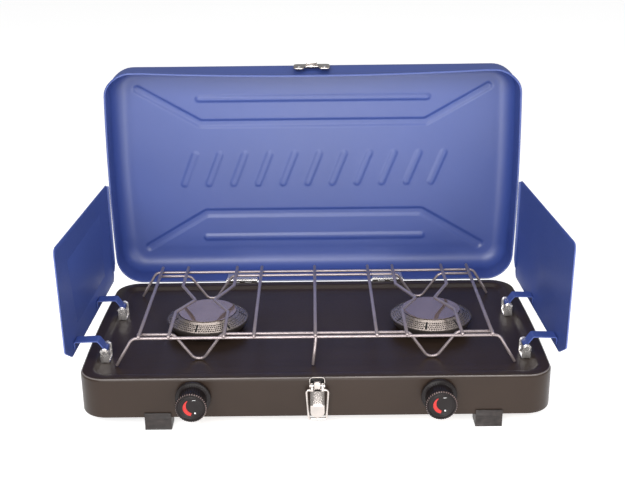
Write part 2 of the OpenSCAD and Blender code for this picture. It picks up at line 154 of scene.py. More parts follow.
def material(name, colour, metallic, roughness, tone=0.08, tone_scale=18, grain=(220, 0.04),
             rough_spread=0.06, coat=0.0, gloss_level=0.5, wear=None):
    """A procedural surface: broad tone changes, fine grain in the bump, and uneven gloss.

    grain is (scale, bump strength). gloss_level is how strongly the bare surface mirrors.
    wear is a colour that shows in small worn specks.
    """
    made = bpy.data.materials.new(name)
    made.use_nodes = True
    nodes, links = made.node_tree.nodes, made.node_tree.links
    shader = nodes["Principled BSDF"]
    shader.inputs["Metallic"].default_value = metallic
    shader.inputs["Specular IOR Level"].default_value = gloss_level
    shader.inputs["Coat Weight"].default_value = coat
    shader.inputs["Coat Roughness"].default_value = 0.05

    place = nodes.new("ShaderNodeTexCoord")
    broad = nodes.new("ShaderNodeTexNoise")
    broad.inputs["Scale"].default_value = tone_scale
    broad.inputs["Detail"].default_value = 5.0
    links.new(place.outputs["Object"], broad.inputs["Vector"])
    ramp = nodes.new("ShaderNodeValToRGB")
    ramp.color_ramp.elements[0].position = 0.3
    ramp.color_ramp.elements[1].position = 0.7
    ramp.color_ramp.elements[0].color = [c * (1 - tone) for c in colour] + [1]
    ramp.color_ramp.elements[1].color = [min(1, c * (1 + tone)) for c in colour] + [1]
    links.new(broad.outputs["Fac"], ramp.inputs["Fac"])
    colour_out = ramp.outputs["Color"]
    if wear:
        specks = nodes.new("ShaderNodeTexNoise")
        specks.inputs["Scale"].default_value = 260
        specks.inputs["Detail"].default_value = 8.0
        links.new(place.outputs["Object"], specks.inputs["Vector"])
        mask = nodes.new("ShaderNodeValToRGB")
        mask.color_ramp.elements[0].position = 0.70
        mask.color_ramp.elements[1].position = 0.78
        links.new(specks.outputs["Fac"], mask.inputs["Fac"])
        mix = nodes.new("ShaderNodeMix")
        mix.data_type = "RGBA"
        mix.inputs["B"].default_value = list(wear) + [1]
        links.new(mask.outputs["Color"], mix.inputs["Factor"])
        links.new(colour_out, mix.inputs["A"])
        colour_out = mix.outputs["Result"]
    links.new(colour_out, shader.inputs["Base Color"])

    fine = nodes.new("ShaderNodeTexNoise")
    fine.inputs["Scale"].default_value = grain[0]
    fine.inputs["Detail"].default_value = 3.0
    links.new(place.outputs["Object"], fine.inputs["Vector"])
    gloss = nodes.new("ShaderNodeMapRange")
    gloss.inputs["To Min"].default_value = max(0.02, roughness - rough_spread)
    gloss.inputs["To Max"].default_value = min(1.0, roughness + rough_spread)
    links.new(fine.outputs["Fac"], gloss.inputs["Value"])
    links.new(gloss.outputs["Result"], shader.inputs["Roughness"])
    bump = nodes.new("ShaderNodeBump")
    bump.inputs["Strength"].default_value = grain[1]
    bump.inputs["Distance"].default_value = 0.0006
    links.new(fine.outputs["Fac"], bump.inputs["Height"])
    links.new(bump.outputs["Normal"], shader.inputs["Normal"])
    return made


def make_materials():
    """One material for each of the record's slots, a few for printed marks, and a few that carry painted highlight
    and painted shade.
    """
    return {
        "case_paint": material("case_paint", (0.034, 0.0215, 0.0155), 0.0, 0.34, 0.12, 9, (420, 0.08),
                               gloss_level=0.25),
        # Shoulder-crest look: lighter than the case paint, a painted highlight line along the crest; its coat is
        # real gloss.
        "case_edge": material("case_edge", (0.19, 0.165, 0.155), 0.0, 0.22, 0.25, 14, (420, 0.04),
                              coat=1.0),
        "blue_paint": material("blue_paint", (0.045, 0.084, 0.325), 0.0, 0.44, 0.05, 7, (380, 0.05),
                               gloss_level=1.0),
        "foot_plastic": material("foot_plastic", (0.026, 0.0195, 0.018), 0.0, 0.45, 0.45, 160, (260, 0.5),
                                 gloss_level=0.4),
        "knob_plastic": material("knob_plastic", (0.013, 0.0095, 0.0095), 0.0, 0.36, 0.15, 40, (1200, 0.08),
                                 gloss_level=0.25),
        # Knob-rim look: lighter brown than the knob plastic, a painted highlight on the rim's teeth.
        "knob_edge": material("knob_edge", (0.20, 0.14, 0.13), 0.0, 0.3, 0.3, 90, (900, 0.1)),
        "red_plastic": material("red_plastic", (0.55, 0.020, 0.016), 0.0, 0.4, 0.1, 60, (900, 0.1)),
        "white_print": material("white_print", (0.80, 0.80, 0.80), 0.0, 0.45, 0.05, 60, (900, 0.1)),
        "zinc": material("zinc", (0.72, 0.69, 0.67), 0.85, 0.24, 0.10, 60, (500, 0.05)),
        "nickel": material("nickel", (0.62, 0.565, 0.53), 1.0, 0.14, 0.10, 80, (700, 0.006)),
        "steel_fastener": material("steel_fastener", (0.62, 0.62, 0.64), 1.0, 0.3, 0.12, 90, (600, 0.1)),
        "chrome_wire": material("chrome_wire", (0.47, 0.395, 0.395), 0.62, 0.30, 0.10, 60, (300, 0.004)),
        "burner_steel": material("burner_steel", (0.36, 0.305, 0.275), 0.7, 0.27, 0.2, 50, (420, 0.05),
                                 wear=(0.2, 0.18, 0.17)),
        "bowl_steel": material("bowl_steel", (0.085, 0.07, 0.065), 0.5, 0.42, 0.25, 40, (420, 0.06)),
        # Near-black port look: painted shade, for the burner ports and for the latch's backing plate in shadow.
        "port_dark": material("port_dark", (0.013, 0.011, 0.011), 0.3, 0.5, 0.2, 60, (420, 0.1)),
        "polished_steel": material("polished_steel", (0.50, 0.385, 0.35), 0.75, 0.07, 0.06, 30, (300, 0.03),
                                   rough_spread=0.03),
        "brass": material("brass", (0.62, 0.43, 0.18), 1.0, 0.3, 0.12, 90, (500, 0.1)),
        "copper_tube": material("copper_tube", (0.55, 0.33, 0.15), 1.0, 0.32, 0.15, 60, (400, 0.1)),
    }


# ---------------------------------------------------------------- mesh tools

def piece(name, verts, faces, look, body, stands_for=(), sharp=32, second=None):
    """Makes an object from millimetre points with its material, puts it under its body and hides the CAD nodes it
    stands for.

    second is (look, face numbers) for faces that have another look."""
    mesh = bpy.data.meshes.new(name)
    mesh.from_pydata([(v[0] * MM, v[1] * MM, v[2] * MM) for v in verts], [], faces)
    mesh.validate()
    mesh.polygons.foreach_set("use_smooth", [True] * len(mesh.polygons))
    mesh.set_sharp_from_angle(angle=radians(sharp))
    mesh.materials.append(LOOKS[look])
    if second:
        mesh.materials.append(LOOKS[second[0]])
        for number in second[1]:
            mesh.polygons[number].material_index = 1
    made = bpy.data.objects.new(name, mesh)
    bpy.context.collection.objects.link(made)
    if stands_for:
        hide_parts(*stands_for)
    look if look in SLOTS else "knob_plastic"
    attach(made, body)
    return made


def joined(parts):
    """Several (verts, faces) as one."""
    verts, faces = [], []
    for more_verts, more_faces in parts:
        start = len(verts)
        verts += more_verts
        faces += [tuple(i + start for i in face) for face in more_faces]
    return verts, faces


def moved(part, change):
    """A (verts, faces) with change applied to each point."""
    return [change(v) for v in part[0]], part[1]


def mirrored(part):
    """A (verts, faces) mirrored left to right."""
    return [(-v[0], v[1], v[2]) for v in part[0]], [tuple(reversed(face)) for face in part[1]]


def loft(rings, cap_start=True, cap_end=True, ring_closed=True, loop=False):
    """A skin through rings of equally many points."""
    count = len(rings[0])
    verts = [p for ring in rings for p in ring]
    faces = []
    steps = len(rings) if loop else len(rings) - 1
    for j in range(steps):
        a, b = j * count, ((j + 1) % len(rings)) * count
        for i in range(count if ring_closed else count - 1):
            k = (i + 1) % count
            faces.append((a + i, a + k, b + k, b + i))
    if cap_start and not loop:
        faces.append(tuple(reversed(range(count))))
    if cap_end and not loop:
        faces.append(tuple(range(len(verts) - count, len(verts))))
    return verts, faces


def revolve(profile, steps=64, shift=None):
    """A closed (radius, height) profile turned about Z; shift(radius, height, angle) may move points."""
    rings = []
    for i in range(steps):
        angle = 2 * pi * i / steps
        ring = []
        for r, z in profile:
            r2, z2 = shift(r, z, angle) if shift else (r, z)
            ring.append((r2 * cos(angle), r2 * sin(angle), z2))
        rings.append(ring)
    return loft(rings, loop=True)


def arc(cx, cy, r, start, end, steps):
    """Points of an arc from angle start to angle end, in degrees."""
    return [(cx + r * cos(radians(start + (end - start) * i / steps)),
             cy + r * sin(radians(start + (end - start) * i / steps))) for i in range(steps + 1)]


def rounded(points, radii, steps=5, closed=True):
    """A polyline with its corners turned into arcs. Points may have two or three coordinates."""
    points = [Vector(p) for p in points]
    if not hasattr(radii, "__len__"):
        radii = [radii] * len(points)
    result = []
    for i, p in enumerate(points):
        if not closed and i in (0, len(points) - 1):
            result.append(p)
            continue
        before, after = points[i - 1], points[(i + 1) % len(points)]
        to_before, to_after = (before - p).normalized(), (after - p).normalized()
        turn = pi - to_before.angle(to_after)
        if radii[i] <= 0 or turn < 0.02:
            result.append(p)
            continue
        reach = min(radii[i] * tan(turn / 2), (before - p).length * 0.49, (after - p).length * 0.49)
        radius = reach / tan(turn / 2)
        middle = (to_before + to_after).normalized()
        centre = p + middle * (radius / cos(turn / 2))
        first, last = p + to_before * reach - centre, p + to_after * reach - centre
        for k in range(steps + 1):
            t = k / steps
            a = sin((1 - t) * turn) / sin(turn)
            b = sin(t * turn) / sin(turn)
            result.append(centre + first * a + last * b)
    return result


def tube(points, r, sides=14, ball_ends=True):
    """A round wire along a path, with domed ends."""
    points = [Vector(p) for p in points]
    tangents = []
    for i in range(len(points)):
        step = points[min(i + 1, len(points) - 1)] - points[max(i - 1, 0)]
        tangents.append(step.normalized())
    normal = tangents[0].orthogonal().normalized()
    stations = []
    if ball_ends:
        stations += [(points[0] - tangents[0] * r * k, tangents[0], r * s)
                     for k, s in ((0.5, 0.3), (0.35, 0.75))]
    stations += [(p, t, r) for p, t in zip(points, tangents)]
    if ball_ends:
        stations += [(points[-1] + tangents[-1] * r * k, tangents[-1], r * s)
                     for k, s in ((0.35, 0.75), (0.5, 0.3))]
    rings = []
    for p, t, radius in stations:
        normal = (normal - t * normal.dot(t)).normalized()
        side = t.cross(normal)
        angles = [2 * pi * k / sides for k in range(sides)]
        rings.append([tuple(p + (normal * cos(a) + side * sin(a)) * radius) for a in angles])
    return loft(rings)


def offset(points, amount):
    """A closed 2-D outline moved inward (its points run anticlockwise)."""
    result = []
    count = len(points)
    for i in range(count):
        a, p, b = (Vector(points[j % count][:2]) for j in (i - 1, i, i + 1))
        d1, d2 = (p - a), (b - p)
        if d1.length < 1e-6 or d2.length < 1e-6:
            d1 = d2 = d1 + d2
        n1 = Vector((-d1.y, d1.x)).normalized()
        n2 = Vector((-d2.y, d2.x)).normalized()
        n = (n1 + n2).normalized()
        result.append(tuple(p + n * (amount / max(0.5, n.dot(n1)))))
    return result


def plate(outline, low, high, edge, place):
    """A flat plate with softened edges. place(u, v, w) puts outline point (u, v) at height w."""
    small = offset(outline, edge)
    tiny = offset(outline, edge * 0.3)
    levels = [(small, low), (tiny, low + edge * 0.3), (outline, low + edge),
              (outline, high - edge), (tiny, high - edge * 0.3), (small, high)]
    return loft([[place(p[0], p[1], w) for p in ring] for ring, w in levels])


def block(low, high, edge=0.6):
    """A box with softened edges."""
    outline = rounded([(low[0], low[1]), (high[0], low[1]), (high[0], high[1]), (low[0], high[1])], edge, 3)
    return plate(outline, low[2], high[2], edge, lambda u, v, w: (u, v, w))


# ---------------------------------------------------------------- case outline

class Plan:
    """Plan outline of the base or the lid, as a grid whose border is the rounded, bowed outline."""

    def __init__(self, corner_r, step, edge_inset, extra_xs=()):
        self.r, self.inset = corner_r, edge_inset
        self.cx, self.cy = HALF_W - corner_r, HALF_D - corner_r
        corner = 6
        reach = corner_r - edge_inset
        bend = [reach * tan(pi / 4 * k / corner) for k in range(1, corner + 1)]
        self.xs = self.stations(self.cx, step, bend, extra_xs)
        self.ys = self.stations(self.cy, step, bend, ())
        nx, ny = len(self.xs), len(self.ys)
        self.border = ([(i, 0) for i in range(nx - 1)] + [(nx - 1, j) for j in range(ny - 1)]
                       + [(i, ny - 1) for i in range(nx - 1, 0, -1)]
                       + [(0, j) for j in range(ny - 1, 0, -1)])

    @staticmethod
    def stations(straight, step, bend, extra):
        count = max(2, round(2 * straight / step))
        middle = [-straight + 2 * straight * i / count for i in range(count + 1)]
        middle = [m for m in middle if all(abs(m - e) > 0.8 for e in extra)] + list(extra)
        return [-straight - b for b in reversed(bend)] + sorted(middle) + [straight + b for b in bend]

    def bowed(self, x, y, inset):
        hx, hy = HALF_W - inset, HALF_D - inset
        return x * (1 + SIDE_BOW / hx * (1 - (y / hy) ** 2)), y

    def inside(self, i, j):
        """A grid point, on the face at edge_inset."""
        x, y = self.xs[i], self.ys[j]
        dx, dy = abs(x) - self.cx, abs(y) - self.cy
        if dx > 0 and dy > 0:
            k = max(dx, dy) / hypot(dx, dy)
            x = (self.cx + dx * k) * (1 if x > 0 else -1)
            y = (self.cy + dy * k) * (1 if y > 0 else -1)
        return self.bowed(x, y, self.inset)

    def ring(self, inset):
        """The outline's points, moved inward by inset."""
        result = []
        reach = self.r - inset
        for i, j in self.border:
            x, y = self.xs[i], self.ys[j]
            dx, dy = abs(x) - self.cx, abs(y) - self.cy
            sx, sy = (1 if x > 0 else -1), (1 if y > 0 else -1)
            if dx > 0 and dy > 0:
                k = reach / hypot(dx, dy)
                x, y = sx * (self.cx + dx * k), sy * (self.cy + dy * k)
            elif j in (0, len(self.ys) - 1):
                x, y = (x if dx <= 0 else sx * (self.cx + reach)), sy * (self.cy + reach)
            else:
                x, y = sx * (self.cx + reach), y
            result.append(self.bowed(x, y, inset))
        return result

    def shell(self, skin_rows, top_z, lining_rows, lining_z, shape=lambda x, y, z: (x, y, z)):
        """A closed sheet. Rows are (inset, z) from the skin's panel edge out and down to the mouth,
        and on up the lining; top_z(x, y) and lining_z(x, y) give the two faces of the panel."""
        rows = [[shape(x, y, z) for x, y in self.ring(inset)] for inset, z in skin_rows + lining_rows]
        nx, ny = len(self.xs), len(self.ys)
        index = {}
        verts, faces = [], []

        def panel(height, flip):
            for i in range(nx):
                for j in range(ny):
                    x, y = self.inside(i, j)
                    index[flip, i, j] = len(verts)
                    verts.append((x, y, height(x, y)))
            for i in range(nx - 1):
                for j in range(ny - 1):
                    quad = [index[flip, a, b] for a, b in ((i, j), (i + 1, j), (i + 1, j + 1), (i, j + 1))]
                    faces.append(tuple(reversed(quad)) if flip else tuple(quad))

        panel(top_z, False)
        panel(lining_z, True)
        previous = [index[False, i, j] for i, j in self.border]
        for row in rows:
            current = list(range(len(verts), len(verts) + len(row)))
            verts.extend(row)
            self.bridge(previous, current, faces)
            previous = current
        self.bridge(previous, [index[True, i, j] for i, j in self.border], faces)
        return verts, faces

    @staticmethod
    def bridge(upper, lower, faces):
        count = len(upper)
        for k in range(count):
            n = (k + 1) % count
            faces.append((upper[k], lower[k], lower[n], upper[n]))


def quarter(inset, z, r, start, end, steps=6):
    """(inset, z) points of an arc: inset and z are its centre."""
    return [(inset - r * cos(radians(start + (end - start) * k / steps)),
             z + r * sin(radians(start + (end - start) * k / steps))) for k in range(steps + 1)]


# ---------------------------------------------------------------- base and lid

def smooth_step(t):
    t = max(0.0, min(1.0, t))
    return t * t * (3 - 2 * t)


def near_rim(verts, face):
    """Whether a face lies on the crest of the turn between the case's wall and its shoulder, where the case gets a
    painted highlight.
    """
    x, y, z = (sum(verts[i][k] for i in face) / len(face) for k in range(3))
    reach = HALF_W + SIDE_BOW * (1 - (y / HALF_D) ** 2)
    dx, dy = max(0, abs(x) - reach + BASE_CORNER_R), max(0, abs(y) - HALF_D + BASE_CORNER_R)
    return SHOULDER_Z - 1.35 < z < SHOULDER_Z - 0.5 and 0 < BASE_CORNER_R - hypot(dx, dy) < 1.9


def build_base():
    """Pressed tray: straight walls, rounded shoulder, and a slope down to the sunk deck."""
    edge = 22.0
    shoulder = 3.5
    bottom = BASE_LOW.z
    plan = Plan(BASE_CORNER_R, 12.0, edge)

    def deck(x, y):
        return DECK_Z

    slope = [(13.0, SHOULDER_Z - 0.3), (14.5, SHOULDER_Z - 1.0), (17.5, DECK_Z + 1.1), (19.5, DECK_Z + 0.3)]
    skin = list(reversed(slope)) + [(11.0, SHOULDER_Z)]
    skin += list(reversed(quarter(shoulder, SHOULDER_Z - shoulder, shoulder, 0, 90, 7)))
    skin += [(0, 40.0), (0, bottom + 3), (0, bottom + 1), (0.3, bottom + 0.3), (1, bottom), (6.5, bottom)]
    lining = [(7, bottom + 0.5), (6.5, bottom + 1), (1.5, bottom + 1), (1, bottom + 1.5), (1, 40.0)]
    lining += quarter(shoulder, SHOULDER_Z - shoulder, shoulder - SHEET, 0, 90, 7)
    lining += [(11.0, SHOULDER_Z - SHEET)] + [(i - 0.6, z - SHEET) for i, z in slope]
    verts, faces = plan.shell(skin, deck, lining, lambda x, y: DECK_Z - SHEET)
    # Faces on the shoulder's crest take the lighter look: a painted highlight along the case's top edge.
    highlight_faces = [n for n, face in enumerate(faces) if near_rim(verts, face)]
    piece("base_shell", verts, faces, "case_paint", "base", ("base_tray",), 40, ("case_edge", highlight_faces))


def bead_height(x, z, path, half_width, edge=2.2):
    """How far a pressed bead along a path of (x, z) points is pushed out, from 0 to 1: its floor
    is flat and its edges are steep."""
    nearest = 1e9
    for (ax, az), (bx, bz) in zip(path, path[1:]):
        if z < min(az, bz) - half_width or z > max(az, bz) + half_width:
            continue
        dx, dz = bx - ax, bz - az
        t = max(0.0, min(1.0, ((x - ax) * dx + (z - az) * dz) / (dx * dx + dz * dz)))
        nearest = min(nearest, hypot(x - ax - t * dx, z - az - t * dz))
    return smooth_step((half_width - nearest) / edge)


LID_CHANNELS = [
    [(-228, 312), (-148, 266), (148, 266), (228, 312)],
    [(-225, 95), (-145, 142.5), (145, 142.5), (225, 95)],
]
LID_RIBS = [[(-149, 299), (149, 299)], [(-146, 108), (146, 108)]]
LID_SLATS = [[(x - 8, 184), (x + 8, 224)] for x in range(-165, 171, 33)]


def open_lid(p):
    """Turns a point of the closed lid to where the open lid has it."""
    x, y, z = p
    return x, HINGE_Y + z - HINGE_Z, HINGE_Z - y + HINGE_Y


def build_lid():
    """Deep lid with a rolled rim, big corner fillets and pressed beads in its panel. Its front
    wall is drawn in towards the mouth, most of all in the middle."""
    fillet = 19.0
    notch_xs = [side * (HINGE_X + end * (NOTCH_HALF_W + gap)) for side in (-1, 1) for end in (-1, 1)
                for gap in (0, -1)]
    plan = Plan(LID_CORNER_R, 1.6, fillet, notch_xs)
    known = {}

    def pressed(x, y):
        if (x, y) not in known:
            z_open = HINGE_Z - y + HINGE_Y
            deep = max(bead_height(x, z_open, path, 5.6) for path in LID_CHANNELS)
            ribs = max(bead_height(x, z_open, path, 4.6) for path in LID_RIBS)
            slats = max(bead_height(x, z_open, path, 5.0) for path in LID_SLATS)
            known[x, y] = 2.0 * deep - 1.8 * ribs - 0.8 * slats
        return known[x, y]

    def notch(x, y, z):
        if y > 0 and abs(abs(x) - HINGE_X) < NOTCH_HALF_W - 0.5 and z < NOTCH_TOP_Z:
            return x, y, NOTCH_TOP_Z + (z - MOUTH_Z) * 0.02
        front = smooth_step((-y - HALF_D + LID_CORNER_R) / (LID_CORNER_R - 4))
        drawn_in = 3.4 + 5.0 * max(0.0, 1 - (x / 215) ** 2)
        return x, y + front * drawn_in * max(0.0, (100 - z) / 38), z

    wall_top = LID_TOP_Z - fillet
    skin = list(reversed(quarter(fillet, wall_top, fillet, 0, 90, 8)))[1:]
    rim_z = MOUTH_Z + 4.3
    wall = [wall_top + (rim_z - wall_top) * k / 4 for k in (1, 2, 3)]
    skin += [(0, z) for z in wall]
    skin += [(0, rim_z), (-0.5, 64.8), (-1.3, 63.9), (-1.6, 62.9), (-1.2, 61.9), (-0.3, MOUTH_Z)]
    lining = [(0.7, 61.6), (1.0, 62.3), (1.0, 65.0)] + [(1.0, z) for z in reversed(wall)]
    lining += quarter(fillet, wall_top, fillet - SHEET, 0, 90, 8)[:-1]
    verts, faces = plan.shell(skin, lambda x, y: LID_TOP_Z + pressed(x, y), lining,
                              lambda x, y: LID_TOP_Z - SHEET + pressed(x, y), notch)
    piece("lid_pan", [open_lid(v) for v in verts], faces, "blue_paint", "lid", ("lid_shell",), 50)


# ---------------------------------------------------------------- wind screens

SCREEN_LEAN = radians(2.0)
SCREEN_FACE_X = PIVOT_X + 32.2


def leaned(p):
    """Leans a right-hand screen's point outward about its pivot pin."""
    x, z = p[0] - PIVOT_X, p[2] - PIVOT_Z
    return (PIVOT_X + x * cos(SCREEN_LEAN) + z * sin(SCREEN_LEAN), p[1],
            PIVOT_Z - x * sin(SCREEN_LEAN) + z * cos(SCREEN_LEAN))


def turned(p):
    """Turns a point of a standing panel in plan, its front edge outward, more so towards the top."""
    x, y, z = p
    return x - y * (0.0294 + max(0.0, z - 82) * 0.000222), y, z


def on_side(part, side):
    return part if side > 0 else mirrored(part)


def screen_panel():
    """Sheet panel with a stiffening lip round its edge and a flange at the lid's side."""
    corners = [(-96, 68), (131, 68), (136.5, 75), (136.5, 200), (-103, 200), (-121, 84)]
    outline = rounded(corners, [5, 2, 2, 3, 9, 5], 6)
    hem = 2.2
    x = SCREEN_FACE_X

    def flat(ring, w):
        return [(w, p[0], p[1]) for p in ring]

    edge, inner1, inner2 = offset(outline, 0.25), offset(outline, hem), offset(outline, hem + 1.2)
    rings = [flat(inner2, x), flat(inner1, x - 0.5), flat(offset(outline, 0.8), x - 0.5),
             flat(edge, x - 0.35), flat(outline, x + 0.1), flat(outline, x + SHEET - 0.1),
             flat(edge, x + SHEET + 0.05), flat(inner1, x + SHEET), flat(inner2, x + SHEET)]
    panel = loft(rings)
    fold = rounded([(x - 3.4, 92), (x - 1.5, 80), (x + 0.1, 80), (x + 0.1, 198.5), (x - 3.4, 198.5)],
                   [3, 1, 0.3, 0.3, 1.5], 4)
    flange = plate(fold, 135.5, 136.5, 0.3, lambda u, v, w: (u, w, v))
    return joined([panel, flange])


def strap(y):
    """Bent strap from the panel down to a curl round its pivot pin."""
    t = 1.4
    elbow_z = PIVOT_Z + 12.7
    face_x = turned((SCREEN_FACE_X - 0.7, y + 8, elbow_z))[0]
    path = rounded([(face_x, elbow_z - 8), (face_x, elbow_z), (PIVOT_X + 7, elbow_z),
                    (PIVOT_X + 0.4, PIVOT_Z + 2.4)], [0, 2.2, 3.0, 0], 5, closed=False)
    rings = []
    for i, p in enumerate(path):
        step = (path[min(i + 1, len(path) - 1)] - path[max(i - 1, 0)]).normalized()
        n = Vector((-step.y, step.x)) * t / 2
        half = 8.0
        e = 0.3
        section = [(n, -half + e), (n * 0.6, -half), (n * -0.6, -half), (n * -1, -half + e),
                   (n * -1, half - e), (n * -0.6, half), (n * 0.6, half), (n, half - e)]
        rings.append([(p.x + m.x, y + w, p.y + m.y) for m, w in section])
    strip = loft(rings)
    curl = moved(revolve([(1.35, -8), (2.6, -8), (2.8, -7.7), (2.8, 7.7), (2.6, 8), (1.35, 8)], 28),
                 lambda v: (PIVOT_X + v[0], y + v[2], PIVOT_Z - v[1]))
    return joined([strip, curl])


def build_screens():
    for side, word in ((-1, "left"), (1, "right")):
        panel = moved(moved(screen_panel(), turned), leaned)
        straps = moved(joined([strap(y) for y in STRAP_YS]), leaned)
        v, f = on_side(panel, side)
        piece(word + "_screen_panel", v, f, "blue_paint", word + "_screen", (word + "_windscreen",))
        v, f = on_side(straps, side)
        piece(word + "_straps", v, f, "blue_paint", word + "_screen", (word + "_screen_straps",))


def bracket(y):
    """Zinc U bracket: two round-topped ears on a plate whose end is rounded."""
    ear_r, eye_r = 5.0, 4.3
    inner = 9.5
    ear = [(PIVOT_X - ear_r, DECK_Z)] + [(PIVOT_X + ear_r, DECK_Z)]
    ear += arc(PIVOT_X, PIVOT_Z, ear_r, 0, 180, 12)
    parts = []
    for low, high in ((y - inner - 1, y - inner), (y + inner, y + inner + 1)):
        parts.append(plate(ear, low, high, 0.25, lambda u, v, w: (u, w, v)))
        outside = high if low > y else low
        turns = [2 * pi * k / 24 for k in range(25)]
        ring = [(PIVOT_X + eye_r * cos(a), outside, PIVOT_Z + eye_r * sin(a)) for a in turns]
        parts.append(tube(ring, 0.75, 8))
    floor_plate = rounded([(PIVOT_X - 5, y - 10.5), (PIVOT_X + 5, y - 10.5), (PIVOT_X + 5, y + 10.5),
                           (PIVOT_X - 5, y + 10.5)], 1.5, 4)
    parts.append(plate(floor_plate, DECK_Z, DECK_Z + 1, 0.25, lambda u, v, w: (u, v, w)))
    return joined(parts)


def build_brackets():
    for side, word in ((-1, "left"), (1, "right")):
        for y, end in zip(STRAP_YS, ("front", "rear")):
            v, f = on_side(bracket(y), side)
            name = word + "_" + end + "_bracket"
            piece(name + "_plate", v, f, "zinc", "base", (name,))


# ---------------------------------------------------------------- grate

WIRE_R, RAIL_R = 1.95, 1.7
CROSS_Z = 93.0
RAIL_Z = CROSS_Z - WIRE_R - RAIL_R
FOOT_Z = DECK_Z + RAIL_R


def build_grate():
    low, high = box_mm("grate_cross_wires")
    front, back = low.y + WIRE_R * 0.5, high.y - WIRE_R * 0.5
    wires = [tube([(x, front, CROSS_Z), (x, back, CROSS_Z)], WIRE_R) for x in (-197, -68.5, 0, 68.5, 197)]
    for side in (-1, 1):
        for x_back, x_mid, x_front in ((164, 144, 163.5), (100.5, 121, 102)):
            swerve = [(x_back, back), (x_back, 48), (x_mid, 3), (x_front, -33), (x_front, front)]
            corners = [(side * x, y, CROSS_Z) for x, y in swerve]
            wires.append(tube(rounded(corners, 5.0, 6, closed=False), WIRE_R))
    piece("grate_wires", *joined(wires), "chrome_wire", "grate", ("grate_cross_wires",), 60)

    for node, y, low_y in (("grate_front_rail", -87, -83.5), ("grate_rear_rail", 91, 93.5)):
        half = [(105.5, y, RAIL_Z), (127, low_y, FOOT_Z), (138, low_y, FOOT_Z), (159.5, y, RAIL_Z),
                (200, y, RAIL_Z)]
        corners = [(-p[0], p[1], p[2]) for p in reversed(half)] + half
        path = rounded(corners, 9.0, 7, closed=False)
        piece(node + "_wire", *tube(path, RAIL_R), "chrome_wire", "grate", (node,), 60)

    for node, y in (("grate_front_leg_wire", -97), ("grate_rear_leg_wire", 104)):
        foot_y = y - 2
        corners = [(-223.5, foot_y, FOOT_Z), (-205, y, RAIL_Z), (205, y, RAIL_Z), (223.5, foot_y, FOOT_Z)]
        parts = [tube(rounded(corners, 9.0, 7, closed=False), RAIL_R)]
        if y < 0:
            parts.append(tube([(0.7, y, RAIL_Z), (-3, y - 5, FOOT_Z)], RAIL_R))
        piece(node + "_bar", *joined(parts), "chrome_wire", "grate", (node,), 60)


# ---------------------------------------------------------------- burners

def burner_bowl_mesh():
    """Deep bowl with a rolled rim, on its neck."""
    profile = [(12, 49.6), (14, 49.6), (14, 56.0), (38, 56.0), (42.5, 59.0), (46.8, 64.5),
               (48.6, 68.0), (49.3, 69.6), (49.2, 70.5), (48.6, 70.9), (48.0, 70.5), (47.8, 69.0),
               (45.5, 64.5), (41.5, 60.0), (37.5, 57.2), (12, 57.2)]
    return revolve(profile, 96)


PORT_ROWS, PORTS, SECTORS = 4, 105, 7


def burner_ring_mesh():
    """Perforated cone and the numbers of its faces painted dark: rows of small pits in seven sectors,
    with plain bars between them that have a dark band along their middle. The pits are shallow dents; the dark
    colour of pits and bands is painted shade for the depth of the ports and slots."""
    steps = PORTS * 4
    bottom, top = (48.2, 70.3), (35.0, 78.2)
    first, last = 0.10, 0.80

    def along(t):
        return bottom[0] + (top[0] - bottom[0]) * t, bottom[1] + (top[1] - bottom[1]) * t

    cells = PORT_ROWS * 4
    marks = [0.0, first - 0.02] + [first + (last - first) * k / cells for k in range(cells + 1)]
    marks += [last + 0.03, 1.0]
    outer = [along(t) for t in marks]
    inner = [(top[0] - 0.6, top[1] - 0.9), (bottom[0] - 0.6, bottom[1] - 0.7)]
    profile = outer + inner
    verts, faces = revolve(profile, steps)
    count = len(profile)
    pits = set()
    for i in range(steps):
        in_sector = abs(((i + 0.5) / steps * SECTORS) % 1 - 0.5)
        for j in range(cells):
            shifted = (i + (2 if (j // 4) % 2 else 0)) % 4
            if in_sector < 0.445 and j % 4 in (1, 2) and shifted in (1, 2):
                pits.add((i, j + 2))
    middles = {}
    for i, j in sorted(pits):
        corners = [(a % steps, b) for a in (i, i + 1) for b in (j, j + 1)]
        for corner in corners:
            middles[corner] = middles.get(corner, 0) + 1
    for (i, j), shared in middles.items():
        if shared == 4:
            r, z = profile[j]
            angle = 2 * pi * i / steps
            verts[i * count + j] = ((r - 0.7) * cos(angle), (r - 0.7) * sin(angle), z - 0.9)
    # The pits and the middle of each bar between sectors take the near-black look: painted shade in holes and
    # slots.
    dark = [i * count + j for i, j in sorted(pits)]
    bars = [i * count + j for i in range(steps) for j in range(2, 2 + cells)
            if abs(((i + 0.5) / steps * SECTORS) % 1 - 0.5) > 0.472]
    return (verts, faces), dark + bars


def burner_cap_mesh():
    """Flat cap with a rolled edge."""
    profile = [(0.01, 78.35), (30, 78.35), (33.6, 78.35), (34.3, 78.5), (34.6, 78.9), (34.3, 79.2),
               (33.4, 79.3), (32.0, 79.2), (20, 79.22), (0.01, 79.25)]
    return revolve(profile, 96)


def build_burners():
    for word in ("left", "right"):
        low, high = box_mm(word + "_burner_bowl")
        cx, cy = (low.x + high.x) / 2, (low.y + high.y) / 2

        def place(v):
            return v[0] + cx, v[1] + cy, v[2]

        piece(word + "_burner_pan", *moved(burner_bowl_mesh(), place), "bowl_steel", "base",
              (word + "_burner_bowl",))
        # The listed port faces get the near-black look: painted shade in the ports.
        ring, dark = burner_ring_mesh()
        piece(word + "_burner_ports", *moved(ring, place), "burner_steel", "base",
              (word + "_burner_ring",), 50, ("port_dark", dark))
        piece(word + "_burner_top", *moved(burner_cap_mesh(), place), "polished_steel", "base",
              (word + "_burner_cap",))


# ---------------------------------------------------------------- knobs

KNOB_STEPS, KNOB_ROWS = 240, 24


